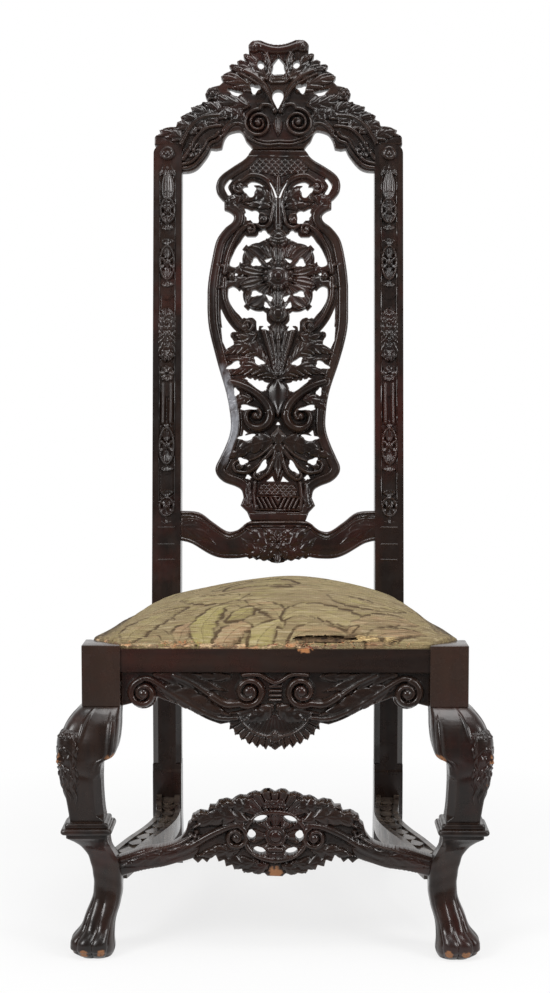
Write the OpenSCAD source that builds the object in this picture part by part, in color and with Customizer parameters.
// Carved high-back hall chair with a drop-in upholstered seat.
// The chair faces -Y. The origin is on the floor, at the centre of the chair's box.
// Depths called d run backwards from the front face of the front leg blocks.

/* [Front frame] */
// Width across the two front leg blocks
front_w = 512; // [490:1:540]
// Side of the square block at the top of a front leg
block = 51; // [48:1:56]
// Height of the leg blocks' top above the floor
block_top = 421; // [405:1:440]
// Height of the leg block itself
block_h = 82; // [76:1:90]
// Height of the underside of the moulded collar on the leg
collar_z = 166; // [158:1:176]
// Height of the moulded collar
collar_h = 21; // [18:1:24]
// How far the knee stands out from the block's face
knee_out = 28; // [22:1:32]
// How far the paw stands out from the block's face
paw_out = 17; // [12:1:22]
// Width of the chamfer on the leg's inner front edge
leg_chamfer = 9; // [5:1:12]

/* [Seat frame] */
// Depth from the leg blocks' front face to the back posts' front face
seat_d = 408; // [390:1:430]
// How far the rails' top lies below the leg blocks' top
rail_drop = 5; // [3:1:8]
// Thickness of the seat rails
rail_t = 24; // [21:1:28]
// Height of the side and rear seat rails
rail_h = 60; // [52:1:64]
// Height of the front seat rail, above the apron
front_rail_h = 31; // [28:1:36]
// How far the front rail lies behind the blocks' front face
front_set = 3; // [2:1:5]
// Width of the lip round the drop-in seat
lip = 6; // [5:1:9]
// Depth of the rebate that the drop-in seat lies in
rebate = 16; // [13:1:19]

/* [Apron] */
// Thickness of the carved apron
apron_t = 22; // [18:1:26]
// Drop of the apron below the front rail at its middle
apron_drop = 105; // [95:1:120]
// Radius of the apron's scroll volutes
apron_volute = 18; // [15:1:20]

/* [Back] */
// Width across the two back posts
back_w = 391; // [370:1:410]
// Width of a back post, seen from the front
post_w = 44.5; // [40:0.5:48]
// Thickness of a back post at the seat
post_t = 44; // [40:1:48]
// Thickness of a back post at its top
post_top_t = 30; // [28:1:34]
// Backward lean of the chair's back, in degrees
rake = 6.5; // [4:0.5:9]
// Length of the raked posts, measured along the lean from the rails' top
post_len = 722; // [700:1:750]
// How far the rear feet kick backwards
foot_kick = 30; // [15:1:40]
// Height of the stretcher block's underside on a rear leg
rear_block_z = 88; // [84:1:92]
// Height of the stretcher block on a rear leg
rear_block_h = 66; // [58:1:72]
// Thickness of the crest rail
crest_t = 22; // [20:1:26]
// Height of the crest's bow over the posts' top
crest_rise = 167; // [150:1:180]
// Thickness of the lower back rail
low_rail_t = 24; // [20:1:28]
// Distance along the lean from the rails' top to the splat's foot
splat_foot = 132; // [125:1:145]

/* [Splat] */
// Width of the splat at its widest
splat_w = 220; // [200:1:230]
// Thickness of the splat's pierced ground
splat_t = 12; // [10:1:13]
// Height of the border strap over the pierced ground
strap_rise = 2.5; // [1.5:0.5:4]
// Height of the scrolls over the pierced ground
scroll_rise = 4.5; // [3:0.5:6]
// Width of the border strap
strap_w = 16; // [13:1:18]

/* [Stretchers] */
// Height of the front stretcher's arms where they meet the legs
arm_h = 28; // [24:1:32]
// Height of the arms' middle above the floor
arm_z = 114; // [108:1:120]
// Thickness of the front stretcher
stretcher_t = 20; // [16:1:24]
// Radius of the front stretcher's pierced plate, side to side
plate_r = 122; // [112:1:130]
// Width of the side stretchers
side_str_w = 36; // [30:1:38]
// Thickness of the side stretchers
side_str_t = 26; // [22:1:28]
// How far the side stretchers bow inwards
side_sweep = 25; // [15:1:28]

/* [Drop-in seat] */
// Height of the upholstered crown over the rails' top
crown = 70; // [50:1:85]
// How far the worn crown has shifted to the right
crown_shift = 20; // [-25:1:25]
// Width of the slip frame's rails
slip_w = 46; // [40:1:55]
// Thickness of the slip frame's rails
slip_t = 15; // [13:1:20]
// How far the seat's underside clears the rails' ledge
seat_rest = 0.3; // [0.2:0.1:0.6]
// Thickness of the tapestry cover
cover_t = 1.6; // [1.2:0.1:2]
// Gap round the drop-in seat
seat_gap = 1.2; // [0.8:0.1:2]
// Width of a webbing strap
web_w = 50; // [40:1:55]

/* [Joinery] */
// Length of the tenons in the back and the seat frame
tenon_l = 20; // [16:1:22]
// Thickness of the tenons
tenon_t = 9; // [7:0.5:10]
// Gap between a tenon and its mortise
fit = 0.1; // [0.05:0.05:0.2]
// Diameter of the wooden joint pegs
peg_d = 6; // [5:0.5:7]

/* [Hidden] */

// Sides of a small pierced hole, and points in a full turn of a volute
round_n = 10;
turn_n = 11;

walnut = [0.16, 0.09, 0.07];
beech = [0.55, 0.40, 0.26];

rail_top = block_top - rail_drop;
ledge_z = rail_top - rebate;
rail_bot = rail_top - rail_h;
front_rail_bot = rail_top - front_rail_h;
block_bot = block_top - block_h;
collar_top = collar_z + collar_h;
half_front = front_w / 2;
half_back = back_w / 2;
inner_back = half_back - post_w;
inner_front = half_front - block;

// The mask stands this far outside the knee, and the crest's back is the rearmost point.
mask_out = 8;
crest_top = post_len + crest_rise;
front_reach = knee_out + mask_out;
rear_reach = seat_d + crest_top * sin(rake) + crest_t * cos(rake);
y0 = (front_reach - rear_reach) / 2;

// A smooth curve through the points p, with n pieces between neighbours.
function knot(a, b, c, e, t) = 0.5 * (2 * b + (c - a) * t + (2 * a - 5 * b + 4 * c - e) * t * t
    + (3 * b - a - 3 * c + e) * t * t * t);
function smooth(p, n = 4) = concat(
    [for (i = [0 : len(p) - 2]) for (k = [0 : n - 1])
        knot(p[max(i - 1, 0)], p[i], p[i + 1], p[min(i + 2, len(p) - 1)], k / n)],
    [p[len(p) - 1]]);
function flip(p) = [for (i = [len(p) - 1 : -1 : 0]) [-p[i][0], p[i][1]]];
function back_to_front(p) = [for (i = [len(p) - 1 : -1 : 0]) p[i]];
function mix(a, b, t) = a + (b - a) * t;

// Points of a volute: from radius r at angle a0, winding inwards for the given turns.
function volute(c, r, a0, turns, way = 1, keep = 0.25) = [for (i = [0 : round(turns * turn_n)])
    let (t = i / round(turns * turn_n), a = a0 + way * 360 * turns * t, q = r * mix(1, keep, t))
    [c[0] + q * cos(a), c[1] + q * sin(a)]];

// A ribbon along the points p, from width a at the start to width b at the end.
function across(p, i) = let (q = p[min(i + 1, len(p) - 1)] - p[max(i - 1, 0)])
    [-q[1], q[0]] / max(norm(q), 0.001);
function ribbon(p, a, b) = concat(
    [for (i = [0 : len(p) - 1]) p[i] + across(p, i) * mix(a, b, i / (len(p) - 1)) / 2],
    [for (i = [len(p) - 1 : -1 : 0]) p[i] - across(p, i) * mix(a, b, i / (len(p) - 1)) / 2]);

module stroke(p, a, b) polygon(ribbon(p, a, b));

module both() {
    children();
    mirror([1, 0, 0]) children();
}

module oval(c, size, turn = 0) translate(c) rotate(turn) scale([size[0] / 2, size[1] / 2]) circle(1,
    $fn = round_n);

// A crescent: what one disc leaves of another.
module crescent(c, r, inner, off, turn) translate(c) rotate(turn) difference() {
    circle(r, $fn = 2 * round_n);
    translate([off, 0]) circle(inner, $fn = 2 * round_n);
}

// A leaf from its root along x, with a serrated outline of the given lobes.
module leaf(c, turn, long, wide, lobes = 3) translate(c) rotate(turn) polygon(concat(
    [for (i = [0 : lobes * 4]) let (t = i / (lobes * 4), saw = 1 + 0.22 * ((i % 4) / 3 - 0.5))
        [long * t * (0.94 + 0.06 * saw), wide / 2 * sin(180 * pow(t, 0.7)) * saw]],
    [for (i = [lobes * 4 - 1 : -1 : 1]) let (t = i / (lobes * 4), saw = 1 + 0.22 * ((i % 4) / 3 - 0.5))
        [long * t, -wide / 2 * sin(180 * pow(t, 0.7)) * saw]]));

// A board whose drawing stands upright, with its front face at the depth front.
module board(front, thick) translate([0, front + thick, 0]) rotate([90, 0, 0])
    linear_extrude(thick) children();

// The raked frame of the chair's back: x across, z along the lean, y = 0 at the posts' front.
module leaning() translate([0, y0 + seat_d, rail_top]) rotate([-rake, 0, 0]) children();

// Rounds the corners of a drawing as a carver's gouge would.
module eased(r = 0.6) offset(r = r) offset(delta = -r) children();

// Joins overlapping strokes and leaves into one drawing.
module joined() offset(delta = 0.05) children();

// Joins the two halves of a board, whose outline stays where it is.
module seamless() offset(delta = -0.02) offset(delta = 0.02) children();

// A board in the raked back, or a relief that stands out from its front face.
module relief(face, rise) board(face - rise, rise + 0.5) children();

// The front legs

// Half of the leg's outline: [height, outward reach] and [height, inward reach].
knee_span = block_bot - collar_top;
leg_outer = concat(
    [[block_bot, 0]],
    smooth([for (q = [[0.94, 0.38], [0.85, 0.74], [0.72, 0.98], [0.56, 1], [0.40, 0.9], [0.2, 0.7], [0, 0.55]])
        [collar_top + knee_span * q[0], knee_out * q[1]]], 2));
leg_inner = smooth([for (q = [[1, 0], [0.78, 0.5], [0.68, 2.5], [0.61, 7], [0.58, 17], [0.53, 23], [0.3,
    24], [0, 21]])
    [collar_top + knee_span * q[0], q[1]]], 2);
shin_outer = smooth([for (q = [[1, 21], [0.9, 4.5], [0.82, -5], [0.7, -9.5], [0.58, -11.5], [0.46, -10]])
    [collar_z * q[0], q[1]]], 2);
paw_outer = smooth([for (q = [[0.33, -0.12], [0.23, 0.24], [0.155, 0.82], [0.11, 1], [0.05, 0.92], [0, 0.4]])
    [collar_z * q[0], paw_out * q[1]]], 2);
shin_inner = smooth([for (q = [[1, 17], [0.9, 16], [0.8, 8], [0.7, 2], [0.52, 1], [0.4, 4], [0.27, 10],
    [0.15, 11], [0.06, 10], [0, 14]]) [collar_z * q[0], q[1]]], 2);
// The collar is a wide ovolo between two beads: [height share, reach beyond the leg above].
collar_steps = [[0, 4.4], [0.06, 5.2], [0.24, 5.2], [0.3, 4.8], [0.3, 9], [0.36, 10.6], [0.5, 11.2], [0.62,
    10.6],
    [0.68, 9], [0.68, 5.4], [0.74, 6.2], [0.9, 6.2], [1, 4.6]];
collar_n = len(collar_steps);
collar_out = knee_out * 0.55;
collar_in = 21;

// Outline of the leg from block to floor, as [reach from the block's outer face, height].
leg_profile = concat(
    [[0, block_top]],
    [for (q = leg_outer) [-q[1], q[0]]],
    [for (i = [collar_n - 1 : -1 : 0]) [-collar_out - collar_steps[i][1],
        collar_z + collar_h * collar_steps[i][0]]],
    [for (q = shin_outer) [-q[1], q[0]]],
    [for (q = paw_outer) [-q[1], q[0]]],
    [for (i = [len(shin_inner) - 1 : -1 : 0]) [block - shin_inner[i][1], shin_inner[i][0]]],
    [for (i = [0 : collar_n - 1]) [block - collar_in + collar_steps[i][1],
        collar_z + collar_h * collar_steps[i][0]]],
    [for (i = [len(leg_inner) - 1 : -1 : 0]) [block - leg_inner[i][1], leg_inner[i][0]]],
    [[block, block_top]]);

module leg_blank(reach = 200) intersection() {
    translate([0, reach, 0]) rotate([90, 0, 0]) linear_extrude(reach * 2) polygon(leg_profile);
    rotate([90, 0, 90]) translate([0, 0, -reach]) linear_extrude(reach * 2) polygon(leg_profile);
}

// The shaft's chamfer: a bar that follows the leg's inner front edge
module edge_chamfer() {
    side = leg_chamfer * sqrt(2);
    low = [block - collar_in, -collar_out, collar_top + 3];
    high = [block - 24, -knee_out * 0.9, collar_top + knee_span * 0.42];
    way = high - low;
    translate(low) rotate([-atan2(way[1], way[2]), atan2(way[0], way[2]), 0]) rotate(45)
        translate([-side / 2, -side / 2, 0]) cube([side, side, norm(way)]);
}

// A tapering round bar from the point p to the point q
module bar(p, q, r1, r2) let (way = q - p) translate(p)
    rotate([0, acos(way[2] / norm(way)), atan2(way[1], way[0])]) cylinder(h = norm(way), r1 = r1, r2 = r2);

// A generic bearded mask at the leg's outer corner, facing the diagonal: head, cheeks, nose, beard and curls
mask_r = 21;
mask_top = block_bot - knee_span * 0.22;
mask_in = (knee_out - 8) * 0.62;
nose_l = 18;
curls = 5;
module mask() translate([-mask_in, -mask_in, mask_top]) {
    translate([0, 0, -mask_r]) sphere(mask_r);
    translate([0, 0, -mask_r * 2.1]) sphere(mask_r * 0.86);
    translate([0, 0, -mask_r * 2.1]) rotate([0, 180, 0])
        cylinder(h = mask_r * 1.9, r1 = mask_r * 0.84, r2 = mask_r * 0.24);
    translate([-mask_r * 0.71, -mask_r * 0.71, -mask_r * 1.9]) cylinder(h = nose_l, r1 = 4.5, r2 = 2);
    for (i = [0 : curls - 1]) let (a = 225 + 120 * (i / (curls - 1) - 0.5))
        translate(mask_r * [0.79 * cos(a), 0.79 * sin(a), -0.42]) sphere(mask_r * 0.2);
}

toes = 4;
toe_r = collar_z * 0.085;
paw_mid = 22;
paw_heel = 28;
function toe_at(a, reach, z) = [paw_mid + (paw_out + reach) * cos(a), paw_mid + (paw_out + reach) * sin(a), z];
// Each toe has a knuckle, a pad and a claw, and a tendon runs up the shin from it.
module paw() for (i = [0 : toes - 1]) let (a = 168 + 114 * i / (toes - 1)) {
    translate(toe_at(a, 11, toe_r * 0.9)) sphere(toe_r * 0.9);
    translate(toe_at(a, 8, toe_r * 1.7)) sphere(toe_r * 0.66);
    bar(toe_at(a, 14, toe_r * 0.75), toe_at(a, 23, toe_r * 0.2), toe_r * 0.42, toe_r * 0.14);
    bar(toe_at(a, 7, toe_r * 1.8), [paw_heel + 18 * cos(a), paw_heel + 18 * sin(a), collar_z * 0.46],
        toe_r * 0.5, toe_r * 0.16);
}

module front_leg(side) translate([side * half_front, y0, 0]) mirror([side > 0 ? 1 : 0, 0, 0])
    difference() {
        union() {
            leg_blank();
            mask();
            paw();
        }
        edge_chamfer();
        // The drop-in seat covers the block's inner corner.
        translate([0, 0, ledge_z]) linear_extrude(block)
            polygon([[block + 1, lip_in - 1], [lip_in - 1, block + 1], [block + 1, block + 1]]);
        // Mortises for the front rail, the apron, the side rail and the stretchers
        translate([block - tenon_l - fit, front_set + rail_t / 2 - tenon_t / 2 - fit, front_rail_bot + 4 - fit])
            cube([tenon_l + 1, tenon_t + 2 * fit, ledge_z - front_rail_bot - 4 + 2 * fit]);
        translate([block - tenon_l - fit, apron_set + apron_t / 2 - tenon_t / 2 - fit, block_bot + 6 - fit])
            cube([tenon_l + 1, tenon_t + 2 * fit, front_rail_bot - block_bot - 14 + 2 * fit]);
        translate([lip + 4 - fit, block - tenon_l * 0.8 - fit, rail_bot + 6 - fit])
            cube([tenon_t + 2 * fit, tenon_l, ledge_z - rail_bot - 14 + 2 * fit]);
        translate([block - 1 - arm_tenon - fit, arm_d - tenon_t / 2 - fit, arm_z - arm_h / 4 - fit])
            cube([arm_tenon + 10, tenon_t + 2 * fit, arm_h / 2 + 2 * fit]);
        translate([front_str_x - tenon_t / 2 - fit, block - 1 - side_tenon - fit, side_str_mid - 5 - fit])
            cube([tenon_t + 2 * fit, side_tenon + 10, 10 + 2 * fit]);
    }

apron_set = front_set + 2;
arm_d = 28;
arm_tenon = 13;
side_tenon = 12;
side_str_top = rear_block_z + side_str_t + 4;
side_str_mid = side_str_top - side_str_t / 2;
front_str_x = 34;

// The back posts

leg_t = post_t - 4;
block_end = rear_block_z + rear_block_h;
post_side = concat(
    smooth([[foot_kick, 0], [foot_kick * 0.45, rear_block_z * 0.5], [0, rear_block_z]], 4),
    [[0, block_end], [2, block_end + 4], [2, rail_bot - 10], [0, rail_bot - 6], [0, rail_top],
    [post_len * sin(rake), rail_top + post_len * cos(rake)],
    [post_len * sin(rake) + post_top_t * cos(rake), rail_top + post_len * cos(rake) - post_top_t * sin(rake)]],
    smooth([[post_len * 0.35 * sin(rake) + mix(post_top_t, post_t, 0.5), rail_top + post_len * 0.35],
        [post_len * 0.12 * sin(rake) + post_t * 0.96, rail_top + post_len * 0.12], [post_t, rail_top]], 3),
    [[post_t, rail_bot - 6], [post_t - 2, rail_bot - 10], [post_t - 2, block_end + 4], [post_t, block_end],
    [post_t, rear_block_z]],
    smooth([[post_t, rear_block_z - 2], [foot_kick * 0.5 + post_t - 4, rear_block_z * 0.5],
        [foot_kick + post_t - 8, 0]], 4));

// Carved cartouches on the post's face: [distance along the lean, length].
cartouches = [for (q = [[75, 38], [147, 54], [225, 40], [304, 60], [372, 50], [493, 52]]) [post_len - q[0],
    q[1]]];
face_band = 9;
panel_deep = 4;

module back_post(side) mirror([side > 0 ? 0 : 1, 0, 0]) difference() {
    translate([inner_back, y0 + seat_d, 0]) rotate([90, 0, 90]) linear_extrude(post_w) polygon(post_side);
    leaning() {
        // Sunk panel of the post's face, in which the cartouches stand
        difference() {
            board(-1, 1 + panel_deep) translate([inner_back + face_band, splat_foot + 20])
                eased(3) square([post_w - 2 * face_band, post_len - splat_foot - 60]);
            board(panel_deep / 2, 6) for (c = cartouches)
                oval([inner_back + post_w / 2, c[0]], [post_w - 2 * face_band + 1, c[1]]);
            board(panel_deep * 0.3, 6) for (c = cartouches) {
                oval([inner_back + post_w / 2, c[0]], [13, c[1] * 0.4]);
                for (s = [-1, 1]) leaf([inner_back + post_w / 2, c[0] + s * c[1] * 0.14], s * 90, c[1]
                    * 0.34, 15, 2);
            }
        }
        // Rounded shoulder at the post's outer top corner
        board(-5, post_t + 20) difference() {
            translate([half_back - 14, post_len - 14]) square(20);
            translate([half_back - 14, post_len - 14]) circle(14);
        }
        // Mortises for the crest and the lower back rail, and their peg holes
        translate([inner_back - 1, back_tenon_y - fit, crest_tenon_z - fit])
            cube([tenon_l + 1 + fit, tenon_t + 2 * fit, crest_tenon_h + 2 * fit]);
        translate([inner_back - 1, back_tenon_y - fit, low_tenon_z - fit])
            cube([tenon_l + 1 + fit, tenon_t + 2 * fit, low_tenon_h + 2 * fit]);
        for (z = [crest_tenon_z + crest_tenon_h / 2, low_tenon_z + low_tenon_h / 2])
            translate([inner_back + tenon_l / 2, back_tenon_y - 2, z]) rotate([-90, 0, 0])
                cylinder(h = post_t, d = peg_d + 2 * fit);
    }
    // Stop-chamfers on the four edges of the rear leg
    for (x = [inner_back, half_back]) for (y = [2, post_t - 2])
        translate([x, y0 + seat_d + y, block_end + 12]) rotate(45)
            translate([-chamfer / 2, -chamfer / 2, 0]) cube([chamfer, chamfer, rail_bot - block_end - 30]);
    // Mortises for the side rail, the rear rail and the side stretcher
    translate([rear_tenon_x - fit, y0 + seat_d - 1, rail_bot + 8 - fit])
        cube([tenon_t + 2 * fit, tenon_l + 1 + fit, ledge_z - rail_bot - 16 + 2 * fit]);
    translate([inner_back - 1, rear_rail_y + 6 - fit, rail_bot + 8 - fit])
        cube([rear_tenon_l + 1 + fit, tenon_t + 2 * fit, ledge_z - rail_bot - 16 + 2 * fit]);
    translate([inner_back + post_w / 2 - tenon_t / 2 - fit, y0 + seat_d - 1, side_str_mid - 6 - fit])
        cube([tenon_t + 2 * fit, tenon_l + 1 + fit, 12 + 2 * fit]);
}

chamfer = 12;
back_tenon_y = 9;
crest_tenon_z = post_len - 36;
crest_tenon_h = 24;
low_tenon_z = splat_foot - 22;
low_tenon_h = 30;
rear_tenon_x = half_back - 17;
rear_rail_y = y0 + seat_d + 2;
rear_tenon_l = 15;

// The crest rail: everything is drawn for the right half and mirrored.

open_x = inner_back / 151;
function crest_pt(q) = [q[0] * open_x, post_len + q[1]];
function crest_pts(p) = [for (q = p) crest_pt(q)];
bow_k = crest_rise / 167;
crest_upper = [for (q = [[0, 159], [14, 161], [32, 167], [44, 163], [47, 154], [46, 143], [54, 145], [54, 130],
    [65, 132], [77, 127], [74, 121], [88, 108], [94, 94], [104, 92], [113, 85], [111, 65], [124, 62], [137, 60],
    [134, 55], [153, 45], [151, 40], [158, 27], [170, 27], [187, 24], [184, 18], [195, 12], [195, 2]])
    [q[0] * open_x, post_len + q[1] * bow_k]];
crest_under = concat(
    smooth(crest_pts([[151, -42], [138, -41], [126, -35], [112, -18], [106, -6]]), 3),
    crest_pts([[98, -6], [89, -5]]),
    smooth(crest_pts([[85, 9], [79, 18], [70, 22], [60, 23], [55, 17], [51, 8], [45, 3], [40, -2]]), 2));
crest_outline = concat(crest_upper, crest_pts([[195, 0], [151, 0]]), crest_under, crest_pts([[40, -6], [0,
    -6]]));

module crest_holes() {
    both() {
        oval(crest_pt([30, 128 * bow_k]), [11, 15], -20);
        oval(crest_pt([39, 88 * bow_k]), [12, 15], 40);
        oval(crest_pt([69, 84 * bow_k]), [18, 9], 25);
    }
    polygon(crest_pts([[0, 138 * bow_k], [11, 122 * bow_k], [7, 122 * bow_k], [12, 112 * bow_k],
        [-12, 112 * bow_k], [-7, 122 * bow_k], [-11, 122 * bow_k]]));
    polygon(smooth(crest_pts([[0, 58], [7, 74], [5, 86], [-5, 86], [-7, 74], [0, 58]]), 3));
}

crest_volute = volute(crest_pt([30, 40]), 19 * open_x, 100, 1.6, -1);
module crest_scrolls() both() {
    stroke(concat(smooth(crest_pts([[4, 56], [14, 68], [26, 66]]), 3), crest_volute), 5, 7);
    stroke(smooth(crest_pts([[52, 34], [70, 47], [92, 47], [112, 34], [132, 10], [150, -14]]), 4), 9, 14);
    stroke(smooth(crest_pts([[6, 66], [15, 96], [30, 110], [52, 118], [66, 116]]), 4), 6, 9);
    stroke(smooth(crest_pts([[30, 74], [44, 100], [62, 104], [78, 96]]), 4), 7, 5);
    oval(crest_pt([102, 75]), [18, 20]);
    leaf(crest_pt([104, 48]), 30, 38, 17);
    leaf(crest_pt([132, 34]), 5, 34, 15);
    oval(crest_pt([177, -8]), [26, 20]);
}

// The small scroll on the very top, rolled forward
module crest_bow() both() {
    stroke(smooth(crest_pts([[-1, 152 * bow_k], [14, 154 * bow_k], [32, 158 * bow_k]]), 4), 14, 17);
    oval(crest_pt([37, 155 * bow_k]), [19, 22]);
}

module crest_rail() color(walnut) leaning() difference() {
    union() {
        board(0, crest_t) eased() difference() {
            union() {
                polygon(crest_outline);
                polygon(flip(crest_outline));
            }
            crest_holes();
        }
        relief(0, 3.5) joined() intersection() {
            union() {
                polygon(crest_outline);
                polygon(flip(crest_outline));
            }
            crest_scrolls();
        }
        relief(0, 7) eased() crest_bow();
        for (s = [-1, 1]) translate([s > 0 ? inner_back - 1 : -inner_back - tenon_l + 0.5, back_tenon_y,
            crest_tenon_z])
            cube([tenon_l + 0.5, tenon_t, crest_tenon_h]);
    }
    translate([-splat_tenon / 2 - fit, splat_y + 3 - fit, splat_top - 1])
        cube([splat_tenon + 2 * fit, splat_t - 6 + 2 * fit, 19 + fit]);
    for (s = [-1, 1]) translate([s * (inner_back + tenon_l / 2), back_tenon_y - 2,
        crest_tenon_z + crest_tenon_h / 2])
        rotate([-90, 0, 0]) cylinder(h = tenon_t + 4, d = peg_d + 2 * fit);
}

// The pierced splat. Its drawing is 220 wide and 584 long, and is fitted to the named sizes.

splat_top = post_len - 6;
splat_len = splat_top - splat_foot;
splat_y = 4 + scroll_rise;
splat_tenon = 60;
kx = splat_w / 220;
kz = splat_len / 584;
function sp(q) = [q[0] * kx, splat_foot + (q[1] - 132) * kz];
function sps(p) = [for (q = p) sp(q)];
splat_half = concat(
    sps([[0, 716], [41, 716]]),
    smooth(sps([[53, 701], [72, 689], [90, 676], [97, 663], [96, 649], [88, 638]]), 3),
    sps([[84, 635], [84, 622]]),
    smooth(sps([[75, 619], [69, 611], [72, 602], [84, 592], [97, 573], [104, 543], [109, 508], [110, 476],
        [108, 434], [96, 384], [80, 331], [74, 290], [76, 268], [84, 246]]), 3),
    smooth(sps([[91, 231], [97, 217], [95, 205], [84, 194], [66, 187], [56, 180], [53, 168]]), 2),
    sps([[58, 156], [48, 146], [42, 132], [0, 132]]));

module splat_plate() {
    polygon(splat_half);
    polygon(flip(splat_half));
}

// [x, along the lean, width, height, turn] of the small pierced holes on the right half
splat_ovals = [[45, 651, 20, 19, 20], [39, 611, 26, 20, 35], [21, 580, 15, 16, 0], [35, 537, 14, 12, 35],
    [16, 541, 12, 6, -30], [34, 488, 16, 9, 0], [13, 482, 13, 7, 45], [17, 471, 13, 7, 50],
    [65, 519, 6, 6, 0], [69, 506, 6, 6, 0], [20, 435, 11, 9, 0], [31, 382, 18, 12, 35],
    [66, 374, 24, 14, -20], [64, 333, 8, 13, -15], [31, 342, 30, 10, 28], [47, 307, 26, 8, 8],
    [47, 262, 26, 12, -8], [55, 226, 16, 11, 20], [24, 217, 24, 11, -55], [47, 200, 8, 6, 0]];

module splat_holes() both() {
    for (q = splat_ovals) oval(sp([q[0], q[1]]), [q[2] * kx, q[3] * kz], q[4]);
    crescent(sp([70, 657]), 12 * kx, 12, -5, 0);
    stroke(smooth(sps([[13, 663], [7, 653], [2.5, 640]]), 3), 2, 3.2);
    // The two long crescents beside the rosette, and the corner hole below them
    stroke(smooth(sps([[53, 578], [68, 560], [76, 535]]), 4), 8, 13);
    stroke(smooth(sps([[77, 490], [71, 468], [50, 451]]), 4), 14, 6);
    polygon(sps([[90, 440], [88, 415], [82, 398], [66, 404], [68, 412], [78, 424]]));
}

// The reliefs stop short of the plate's own edges.
arris = 0.8;
module splat_strap() {
    difference() {
        offset(delta = -arris) splat_plate();
        offset(delta = -strap_w) splat_plate();
    }
    translate(sp([-36 / kx, 704])) square([72, 10]);
    translate(sp([-38 / kx, 135])) square([76, 12]);
}

petals = 8;
module splat_scrolls() {
    both() {
        stroke(concat(volute(sp([63, 656]), 9, 300, 1.1, -1),
            smooth(sps([[56, 668], [38, 668], [18, 655], [9, 636], [10, 612]]), 3)), 6, 7);
        stroke(volute(sp([24, 606]), 13, 150, 1.5, 1), 7, 5);
        stroke(concat(volute(sp([49, 594]), 6, 180, 0.8, 1), smooth(sps([[62, 583], [77, 556], [84, 524]]),
            4)), 5, 8);
        stroke(smooth(sps([[84, 508], [84, 480], [76, 456], [60, 440], [50, 440]]), 4), 8, 9);
        oval(sp([50, 439]), [17, 18]);
        stroke(smooth(sps([[88, 530], [70, 526], [58, 518]]), 3), 9, 6);
        stroke(smooth(sps([[88, 502], [72, 500], [60, 508]]), 3), 9, 6);
        stroke(concat(smooth(sps([[72, 372], [52, 352], [30, 334], [14, 308], [18, 280], [34, 268]]), 4),
            volute(sp([41, 290]), 20, 250, 1.4, 1)), 10, 8);
        leaf(sp([8, 372]), 35, 74, 20, 4);
        leaf(sp([10, 398]), 12, 70, 18, 4);
        stroke(smooth(sps([[4, 250], [28, 232], [56, 214], [74, 216]]), 4), 6, 9);
        stroke(smooth(sps([[3, 244], [14, 218], [26, 196]]), 4), 5, 9);
        leaf(sp([10, 262]), -12, 56, 18, 3);
    }
    stroke(sps([[0, 660], [0, 592]]), 9, 12);
    for (i = [0 : petals - 1]) oval(sp([0, 516]) + 34 * [cos(45 * i + 22.5), sin(45 * i + 22.5)],
        [44, 19], 45 * i + 22.5);
    oval(sp([0, 516]), [30, 30]);
    oval(sp([0, 574]), [28, 26]);
    oval(sp([0, 458]), [26, 26]);
    leaf(sp([0, 444]), -90, 56, 26, 3);
    polygon(sps([[0, 276], [11, 262], [0, 246], [-11, 262]]));
    polygon(sps([[30, 188], [36, 152], [-36, 152], [-30, 188]]));
}

module splat() color([0.17, 0.1, 0.08]) leaning() {
    board(splat_y, splat_t) seamless() difference() {
        splat_plate();
        splat_holes();
    }
    relief(splat_y, strap_rise) joined() splat_strap();
    relief(splat_y, scroll_rise) joined() intersection() {
        offset(delta = -arris) splat_plate();
        difference() {
            splat_scrolls();
            offset(delta = arris) splat_holes();
        }
    }
    translate([-splat_tenon / 2, splat_y + 3, splat_top - 0.5]) cube([splat_tenon, splat_t - 6, 18.5]);
    translate([-splat_tenon / 2, splat_y + 3, splat_foot - 18]) cube([splat_tenon, splat_t - 6, 18.5]);
}

// The serpentine lower back rail

function lr(q) = [q[0] * open_x, splat_foot + q[1]];
function lrs(p) = [for (q = p) lr(q)];
low_top = concat(lrs([[0, 0], [44, 0]]),
    smooth(lrs([[56, -8], [64, -14], [80, -16], [102, -2], [123, 13], [151, 16]]), 4));
low_bottom = smooth(lrs([[151, -31], [134, -36], [107, -52], [88, -58], [64, -58], [48, -56], [24, -60],
    [0, -64]]), 3);
low_half = concat(low_top, low_bottom);

module lower_back_rail() color(walnut) leaning() difference() {
    union() {
        board(0, low_rail_t) eased() {
            polygon(low_half);
            polygon(flip(low_half));
        }
        relief(0, 3) eased() {
            both() {
                stroke(smooth(lrs([[148, 6], [122, 3], [100, -12], [82, -26], [62, -26]]), 4), 7, 7);
                stroke(smooth(lrs([[148, -22], [128, -28], [104, -43], [84, -49], [60, -48]]), 4), 7, 7);
                leaf(lr([8, -30]), 20, 44, 20);
                leaf(lr([8, -34]), -20, 44, 20);
            }
            oval(lr([0, -30]), [34, 40]);
        }
        for (s = [-1, 1]) translate([s > 0 ? inner_back - 1 : -inner_back - tenon_l + 0.5, back_tenon_y,
            low_tenon_z])
            cube([tenon_l + 0.5, tenon_t, low_tenon_h]);
    }
    translate([-splat_tenon / 2 - fit, splat_y + 3 - fit, splat_foot - 18 - fit])
        cube([splat_tenon + 2 * fit, splat_t - 6 + 2 * fit, 20]);
    for (s = [-1, 1]) translate([s * (inner_back + tenon_l / 2), back_tenon_y - 2,
        low_tenon_z + low_tenon_h / 2])
        rotate([-90, 0, 0]) cylinder(h = tenon_t + 4, d = peg_d + 2 * fit);
}

// The seat rails

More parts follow.
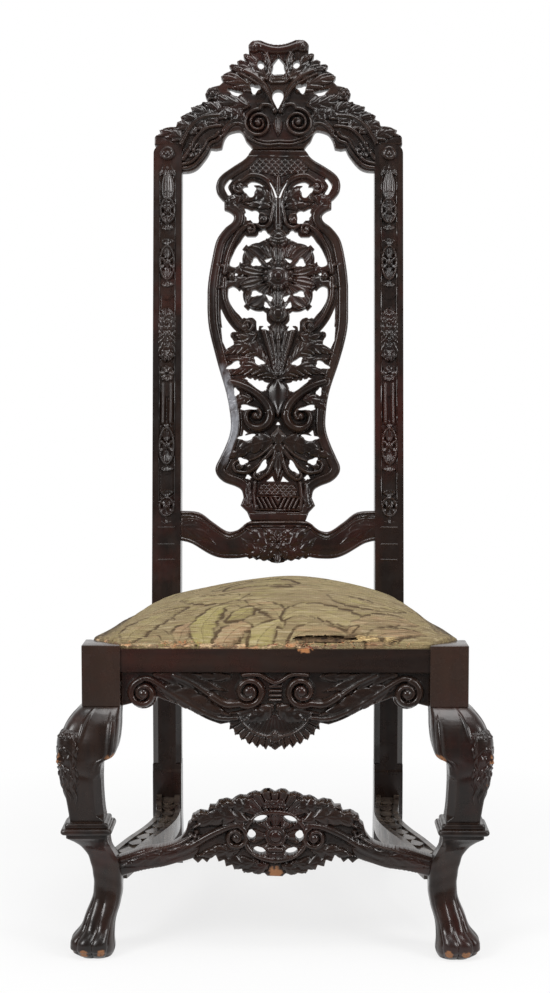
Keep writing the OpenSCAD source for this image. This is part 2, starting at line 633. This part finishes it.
// The side rails' outer face runs straight from the leg block to the back post.
side_front_x = half_front - front_set;
side_rear_x = half_back - 2;
function side_x(d, inset = 0) = mix(side_front_x, side_rear_x, (d - block) / (seat_d - block)) - inset;
lip_in = front_set + lip;
rear_ledge = 12;
rear_rail_t = 22;

module plan(z, tall) translate([0, y0, z]) linear_extrude(tall) children();

module rail_pair(side, z, tall, width) plan(z, tall) mirror([side > 0 ? 0 : 1, 0])
    polygon([[side_x(block), block], [side_x(seat_d), seat_d],
        [side_x(seat_d, width), seat_d], [side_x(block, width), block]]);

module side_seat_rail(side) color([0.15, 0.085, 0.065]) {
    rail_pair(side, rail_bot, rail_h - rebate, rail_t);
    rail_pair(side, ledge_z - 1, rebate + 1, lip);
    mirror([side > 0 ? 0 : 1, 0, 0]) {
        translate([half_front - lip - 4 - tenon_t, y0 + block - tenon_l * 0.8, rail_bot + 6])
            cube([tenon_t, tenon_l * 0.8 + 1, ledge_z - rail_bot - 14]);
        translate([rear_tenon_x, y0 + seat_d - 1, rail_bot + 8])
            cube([tenon_t, tenon_l + 1, ledge_z - rail_bot - 16]);
    }
}

module front_seat_rail() color([0.2, 0.1, 0.08]) {
    translate([-inner_front, y0 + front_set, front_rail_bot])
        cube([2 * inner_front, rail_t, front_rail_h - rebate]);
    translate([-inner_front, y0 + front_set, ledge_z - 1]) cube([2 * inner_front, lip, rebate + 1]);
    translate([-inner_front - tenon_l, y0 + front_set + rail_t / 2 - tenon_t / 2, front_rail_bot + 4])
        cube([2 * (inner_front + tenon_l), tenon_t, ledge_z - front_rail_bot - 4]);
}

module rear_seat_rail() color(walnut) {
    translate([-inner_back, y0 + seat_d - rear_ledge, rail_bot])
        cube([2 * inner_back, rear_ledge + rear_rail_t, rail_h - rebate]);
    translate([-inner_back, y0 + seat_d, ledge_z - 1]) cube([2 * inner_back, rear_rail_t, rebate + 1]);
    translate([-inner_back - rear_tenon_l, rear_rail_y + 6, rail_bot + 8])
        cube([2 * (inner_back + rear_tenon_l), tenon_t, ledge_z - rail_bot - 16]);
}

block_drop = 2;
brace = 46;
brace_tall = 30;
module corner_blocks() color(beech) both() plan(ledge_z - block_drop - brace_tall, brace_tall) {
    polygon([[inner_front - brace, front_set + rail_t], [inner_front, front_set + rail_t],
        [inner_front, block], [side_x(block, rail_t), block], [side_x(block + brace, rail_t), block + brace]]);
    polygon([[inner_back - brace, seat_d - rear_ledge], [inner_back, seat_d - rear_ledge],
        [inner_back, seat_d], [side_x(seat_d, rail_t), seat_d], [side_x(seat_d - brace, rail_t),
            seat_d - brace]]);
}

glue_long = 44;
glue_wide = 18;
glue_tall = 38;
module apron_blocks() color(beech)
    for (x = [-120, -40, 40, 120])
        translate([x * ax - glue_long / 2, y0 + apron_set + apron_t,
            front_rail_bot + glue_tall / 3 - glue_tall])
            rotate([90, 0, 90]) linear_extrude(glue_long) polygon([[0, 0], [glue_wide * 0.45, 0],
                [glue_wide, glue_tall / 3], [glue_wide, glue_tall], [0, glue_tall]]);

// The carved apron: [across, below the front rail's underside] for the right half

ax = inner_front / 205;
az = apron_drop / 105;
function ap(q) = [q[0] * ax, q[1] * az];
function aps(p) = [for (q = p) ap(q)];
teeth = 7;
fan_c = [0, -45];
fan_teeth = [for (i = [0 : teeth - 1]) for (k = [0, 1]) let (a = -90 + 66 * (i + k) / teeth,
    r = k == 0 ? 1 : 0.93)
    fan_c + [70 * cos(a) * (r + 0.07 * k), 60 * sin(a) * r]];
// Middles of the outer and the inner volute
outer_eye = [175, -30];
inner_eye = [36, -25];
apron_half = concat(
    aps([[0, 0], [205, 0], [205, -47]]),
    [for (a = [-40 : -20 : -150]) ap(outer_eye) + (apron_volute + 2) * [cos(a), sin(a)]],
    smooth(aps([[157, -34], [140, -41], [121, -49], [92, -64], [70, -70]]), 3),
    aps(back_to_front(fan_teeth)));

module apron_scrolls() both() {
    stroke(volute(ap(outer_eye), apron_volute, 60, 1.5, -1), 6, 5);
    stroke(smooth(concat([ap(outer_eye) + apron_volute * [cos(60), sin(60)]],
        aps([[158, -9], [134, -18], [104, -36], [74, -50], [46, -52]])), 4), 6, 9);
    stroke(volute(ap(inner_eye), apron_volute * 1.1, -90, 1.5, -1), 7, 5);
    stroke(smooth(aps([[128, -4], [100, -20], [78, -38], [56, -42]]), 4), 4, 8);
    stroke(smooth(aps([[0, -8], [14, -2], [34, -5]]), 3), 5, 5);
    for (a = [-84 : 15 : -25]) stroke([ap([6, -52]), ap(fan_c + [60 * cos(a), 52 * sin(a)])], 3, 9);
    leaf(ap([118, -26]), -28, 44, 15);
}

module apron() color(walnut) {
    translate([0, y0 + apron_set, front_rail_bot]) {
        board(0, apron_t) eased() {
            polygon(apron_half);
            polygon(flip(apron_half));
        }
        relief(0, 3.5) joined() intersection() {
            union() {
                polygon(apron_half);
                polygon(flip(apron_half));
            }
            apron_scrolls();
        }
    }
    for (s = [0, 1]) mirror([s, 0, 0])
        translate([inner_front - 1, y0 + apron_set + apron_t / 2 - tenon_t / 2, block_bot + 6])
            cube([tenon_l + 1, tenon_t, front_rail_bot - block_bot - 14]);
}

// The pierced front stretcher: [across, above the arms' middle] for the right half

leg_in_x = half_front - block + 6;
function st(q) = [q[0] <= 122 ? q[0] * plate_r / 122 : mix(plate_r, leg_in_x, (q[0] - 122) / 92), q[1]];
function sts(p) = [for (q = p) st(q)];
stretcher_half = concat(
    sts([[0, 103], [7, 106], [14, 106], [20, 101], [26, 104], [34, 101], [39, 97], [46, 99], [53, 95], [58, 91],
        [66, 94], [76, 91], [79, 86], [88, 85], [90, 75], [101, 77], [112, 72], [113, 66], [118, 62]]),
    smooth(sts([[121, 50], [132, 37], [150, 31], [180, 27]]), 3), [st([214, arm_h / 2])],
    [st([214, -arm_h / 2])], smooth(sts([[188, -4], [152, 3], [128, 10], [110, 14]]), 3),
    sts([[104, 8], [98, 13], [92, 9], [87, 15], [80, 21], [76, 12], [68, 14], [66, 5], [57, 7], [54, -1],
        [44, 1],
        [42, -6], [30, -3], [26, -8], [14, -6], [10, -10], [0, -10]]));

module stretcher_holes() both() {
    oval(st([19, 66]), [16, 11], -25);
    oval(st([30, 46]), [11, 13], 0);
    oval(st([20, 25]), [15, 10], 20);
}

module stretcher_scrolls() {
    both() {
        stroke(concat(volute(st([52, 40]), 16, 100, 1.4, 1), []), 6, 5);
        stroke(smooth(sts([[52, 57], [76, 48], [100, 38], [130, 22], [170, 12], [206, 2]]), 4), 8, 12);
        leaf(st([40, 74]), 8, 56, 18, 4);
        leaf(st([44, 22]), -14, 48, 14, 4);
        for (a = [50 : 20 : 90]) stroke([st([0, 46]) + [26 * cos(a), 30 * sin(a)],
            st([0, 46]) + [46 * cos(a), 52 * sin(a)]], 6, 11);
        leaf(st([76, 60]), 20, 36, 16);
    }
    oval(st([0, 44]), [24, 28]);
    stroke(sts([[0, 58], [0, 82]]), 10, 16);
    stroke(sts([[0, 30], [0, -4]]), 8, 18);
}

module front_stretcher() color(walnut) {
    difference() {
        translate([0, y0 + arm_d - stretcher_t / 2, arm_z]) {
            board(0, stretcher_t) eased() difference() {
                union() {
                    polygon(stretcher_half);
                    polygon(flip(stretcher_half));
                }
                stretcher_holes();
            }
            relief(0, 4) joined() difference() {
                intersection() {
                    union() {
                        polygon(stretcher_half);
                        polygon(flip(stretcher_half));
                    }
                    stretcher_scrolls();
                }
                stretcher_holes();
            }
        }
        // The arms are scribed to the legs' inner faces.
        both() translate([half_front, y0 + arm_d + 60, 0]) mirror([1, 0, 0]) rotate([90, 0, 0])
            linear_extrude(120) polygon(leg_profile);
    }
    both() translate([inner_front + 3, y0 + arm_d - tenon_t / 2, arm_z - arm_h / 4])
        cube([arm_tenon - 2, tenon_t, arm_h / 2]);
}

// The side stretchers: [share of the way back, share of the inward bow]

side_bow = [[0, 0], [0.18, 0.28], [0.31, 0.52], [0.43, 0.84], [0.56, 1.05], [0.7, 0.95], [0.84, 0.52], [1,
    0.05]];
side_path = smooth([for (q = side_bow) [mix(half_front - front_str_x, half_back - post_w / 2, q[0])
    - side_sweep * q[1],
    mix(block - 6, seat_d + 6, q[0])]], 3);
function beside(p, off) = [for (i = [0 : len(p) - 1]) p[i] + across(p, i) * off];

module side_stretcher(side) color([0.2, 0.14, 0.11]) mirror([side > 0 ? 0 : 1, 0, 0]) {
    difference() {
        union() {
            plan(side_str_top - side_str_t, side_str_t - 4) stroke(side_path, side_str_w, side_str_w);
            plan(side_str_top - 5, 5) for (s = [-1, 1])
                stroke(beside(side_path, s * (side_str_w / 2 - 4)), 8, 8);
            plan(side_str_top - 5, 3.5) for (i = [2 : 2 : len(side_path) - 4])
                let (way = side_path[i + 1] - side_path[i]) leaf(side_path[i], atan2(way[1], way[0]), 32,
                    17, 2);
        }
        translate([0, y0, 0]) rotate([90, 0, 90]) linear_extrude(half_front) polygon(leg_profile);
        translate([0, y0 + seat_d, 0]) cube([half_front, post_t, block_top]);
    }
    translate([half_front - front_str_x - tenon_t / 2, y0 + block - 1 - side_tenon, side_str_mid - 5])
        cube([tenon_t, side_tenon + 3, 10]);
    translate([inner_back + post_w / 2 - tenon_t / 2, y0 + seat_d - 2, side_str_mid - 6])
        cube([tenon_t, tenon_l + 2, 12]);
}

module joint_pegs() color(beech) both() leaning() {
    translate([inner_back + tenon_l / 2, back_tenon_y - 1, crest_tenon_z + crest_tenon_h / 2]) rotate([-90,
        0, 0])
        cylinder(h = post_top_t - back_tenon_y, d = peg_d);
    translate([inner_back + tenon_l / 2, back_tenon_y - 1, low_tenon_z + low_tenon_h / 2]) rotate([-90, 0, 0])
        cylinder(h = post_t - back_tenon_y - 4, d = peg_d);
}

// The drop-in seat

// Corner points of the seat's outline, right half, drawn in from the rebate by the inset i
taper = (side_front_x - side_rear_x) / (seat_d - block);
function corner_k(i) = block + lip_in + seat_gap * 1.5 + i * sqrt(2);
function front_pt(i) = let (d = lip_in + seat_gap + i) [half_front + d - corner_k(i), d];
function corner_pt(i) = let (s = side_x(block, lip + seat_gap + i),
    d = (corner_k(i) - half_front + s + taper * block) / (1 + taper)) [side_x(d, lip + seat_gap + i), d];
function rear_pt(i) = let (d = seat_d - seat_gap - i) [side_x(d, lip + seat_gap + i), d];
function seat_half(i) = [front_pt(i), corner_pt(i), rear_pt(i)];
function seat_outline(i) = concat(seat_half(i), flip(seat_half(i)));

seat_z = ledge_z + seat_rest;
slip_z = seat_z + cover_t + 0.1;
web_z = slip_z + slip_t;
web_t = 1.2;
hessian_z = web_z + 2 * web_t + 0.2;
hessian_t = 0.8;
pad_z = hessian_z + hessian_t + 0.3;
edge_z = pad_z + 4.4;
frame_in = cover_t + 0.6;
pad_gap = 1.5;
lap = slip_t / 2;

module slip_area(width) difference() {
    polygon(seat_outline(frame_in));
    polygon(seat_outline(frame_in + width));
}

// The rails' ends are half-lapped: the front and rear rails run below, the side rails above.
front_cut = front_pt(frame_in + slip_w)[1];
rear_cut = rear_pt(frame_in + slip_w)[1];
module front_zone() translate([-front_w, 0]) square([2 * front_w, front_cut]);
module rear_zone() translate([-front_w, rear_cut]) square([2 * front_w, seat_d]);
module side_zone() {
    polygon([[front_pt(frame_in + slip_w)[0], -1], front_pt(frame_in + slip_w), corner_pt(frame_in + slip_w),
        rear_pt(frame_in + slip_w), [rear_pt(frame_in + slip_w)[0], seat_d + 1], [front_w, seat_d + 1],
            [front_w, -1]]);
}

// A front or rear slip rail: the child is its zone.
module slip_rail_across() color(beech) {
    plan(slip_z, lap) intersection() {
        slip_area(slip_w);
        children();
    }
    plan(slip_z, slip_t) difference() {
        intersection() {
            slip_area(slip_w);
            children();
        }
        side_zone();
        mirror([1, 0]) side_zone();
    }
}

module side_part(side) intersection() {
    slip_area(slip_w);
    mirror([side > 0 ? 0 : 1, 0]) side_zone();
}

module slip_rail_side(side) color(beech) {
    plan(slip_z + lap, slip_t - lap) side_part(side);
    plan(slip_z, slip_t) difference() {
        side_part(side);
        front_zone();
        rear_zone();
    }
}

// Interlaced webbing: each strap goes over and under the straps that it crosses.
long_x = [-108, -36, 36, 108];
cross_d = [95, 171, 247, 323];
function strap_path(cross, from, to, phase) = concat([[from, 0]],
    [for (j = [0 : len(cross) - 1]) for (k = [-1, 1])
        [cross[j] + k * (web_w / 2 + 3), (j + phase) % 2 == 0 ? web_t + 0.05 : 0]], [[to, 0]]);
module strap(cross, from, to, phase) {
    p = strap_path(cross, from, to, phase);
    rotate([90, 0, 0]) linear_extrude(web_w, center = true)
        polygon(concat(p, [for (i = [len(p) - 1 : -1 : 0]) p[i] + [0, web_t]]));
}

module webbing() color([0.62, 0.52, 0.36]) translate([0, y0, web_z]) {
    for (k = [0 : 3]) translate([long_x[k], 0, 0]) rotate(90)
        strap(cross_d, front_pt(8)[1], rear_pt(8)[1], k);
    for (k = [0 : 3]) translate([0, cross_d[k], 0])
        strap(long_x, -side_x(cross_d[k] + web_w / 2, lip + 12), side_x(cross_d[k] + web_w / 2, lip + 12),
            k + 1);
}

module hessian() color([0.66, 0.56, 0.4]) plan(hessian_z, hessian_t) polygon(seat_outline(6));

// Points along the seat's outline, inset by i: pieces on each side of it
function along(a, b, n) = [for (k = [0 : n - 1]) a + (b - a) * k / n];
function rim(i) = let (f = front_pt(i), c = corner_pt(i), r = rear_pt(i)) concat(
    along([-f[0], f[1]], f, 11), along(f, c, 3), along(c, r, 9), along(r, [-r[0], r[1]], 9),
    along([-r[0], r[1]], [-c[0], c[1]], 9), along([-c[0], c[1]], [-f[0], f[1]], 3));
rim_n = len(rim(0));
mid_d = seat_d * 0.53;
centre = [0, mid_d];

// Height of the crown above the pad's edge, at a point q, ring share s
crown_h = rail_top + crown - edge_z;
function clip(v) = max(-1, min(1, v));
function swell(q, s) = let (w = side_x(q[1], lip), u = clip(q[0] / w),
    us = clip(u - crown_shift / w * (1 - u * u)), v = clip((q[1] - mid_d) / (seat_d * 0.5)))
    pow(max(0, (1 - pow(abs(us), 1.8)) * (1 - pow(abs(v), 2)) * (1 - pow(s, 10))), 0.9);
rings = [1, 0.985, 0.95, 0.88, 0.78, 0.64, 0.46, 0.24];
function dome(i, drop) = [for (s = rings) for (q = rim(i)) let (p = centre + s * (q - centre))
    [p[0], p[1] + y0, edge_z - drop + crown_h * swell(p, s)]];
function apex(drop) = [[0, mid_d + y0, edge_z - drop + crown_h * swell(centre, 0)]];
function level(i, z) = [for (q = rim(i)) [q[0], q[1] + y0, z]];

// Triangles between ring a and the ring after it, and from the last ring to its middle point
function band(a, b, n) = [for (k = [0 : n - 1]) let (j = (k + 1) % n) each
    [[a + k, b + k, b + j], [a + k, b + j, a + j]]];
function cap(a, tip, n) = [for (k = [0 : n - 1]) [a + k, tip, a + (k + 1) % n]];

module seat_pad() color([0.6, 0.5, 0.36]) {
    i = frame_in;
    pts = concat([[0, mid_d + y0, pad_z]], level(i + 2, pad_z), dome(i, cover_t + pad_gap),
        apex(cover_t + pad_gap));
    n = rim_n;
    polyhedron(pts, concat(
        [for (k = [0 : n - 1]) [1 + (k + 1) % n, 0, 1 + k]],
        [for (r = [0 : len(rings) - 1]) each band(1 + r * n, 1 + (r + 1) * n, n)],
        cap(1 + len(rings) * n, len(pts) - 1, n)));
}

fold = 28;
module seat_cover() color([0.6, 0.54, 0.38]) {
    n = rim_n;
    top = len(rings) + 2;
    outer = concat(level(fold, seat_z), level(0, seat_z), dome(0, 0), apex(0));
    inner = concat(level(fold, seat_z + cover_t), level(cover_t, seat_z + cover_t), dome(cover_t, cover_t),
        apex(cover_t));
    h = len(outer);
    polyhedron(concat(outer, inner), concat(
        [for (r = [0 : top - 2]) each band(r * n, (r + 1) * n, n)],
        cap((top - 1) * n, h - 1, n),
        [for (r = [0 : top - 2]) each band(h + (r + 1) * n, h + r * n, n)],
        [for (f = cap(h + (top - 1) * n, 2 * h - 1, n)) [f[2], f[1], f[0]]],
        band(h, 0, n)));
}

tack_inset = 22;
head_t = 1.2;
tack_l = 9;
module cover_tacks() color([0.3, 0.28, 0.25]) {
    // None goes in where the seat's corner lies on a leg block.
    p = [for (q = rim(tack_inset)) if (half_front - abs(q[0]) > block + 5 || q[1] > block + 5) q];
    for (k = [1 : 2 : len(p) - 1]) translate([p[k][0], y0 + p[k][1], seat_z - head_t]) {
        cylinder(h = head_t, r1 = 2.5, r2 = 4);
        cylinder(h = tack_l, r = 0.8);
    }
}

color(walnut) back_post(-1);  // back_post_left
color(walnut) back_post(1);  // back_post_right
crest_rail();
splat();
lower_back_rail();
rear_seat_rail();
front_seat_rail();
side_seat_rail(-1);  // side_seat_rail_left
side_seat_rail(1);  // side_seat_rail_right
color(walnut) front_leg(-1);  // front_leg_left
color(walnut) front_leg(1);  // front_leg_right
apron();
front_stretcher();
side_stretcher(-1);  // side_stretcher_left
side_stretcher(1);  // side_stretcher_right
corner_blocks();
apron_blocks();
joint_pegs();
slip_rail_across() front_zone();  // slip_rail_front
slip_rail_across() rear_zone();  // slip_rail_rear
slip_rail_side(-1);  // slip_rail_left
slip_rail_side(1);  // slip_rail_right
webbing();
hessian();
seat_pad();
seat_cover();
cover_tacks();
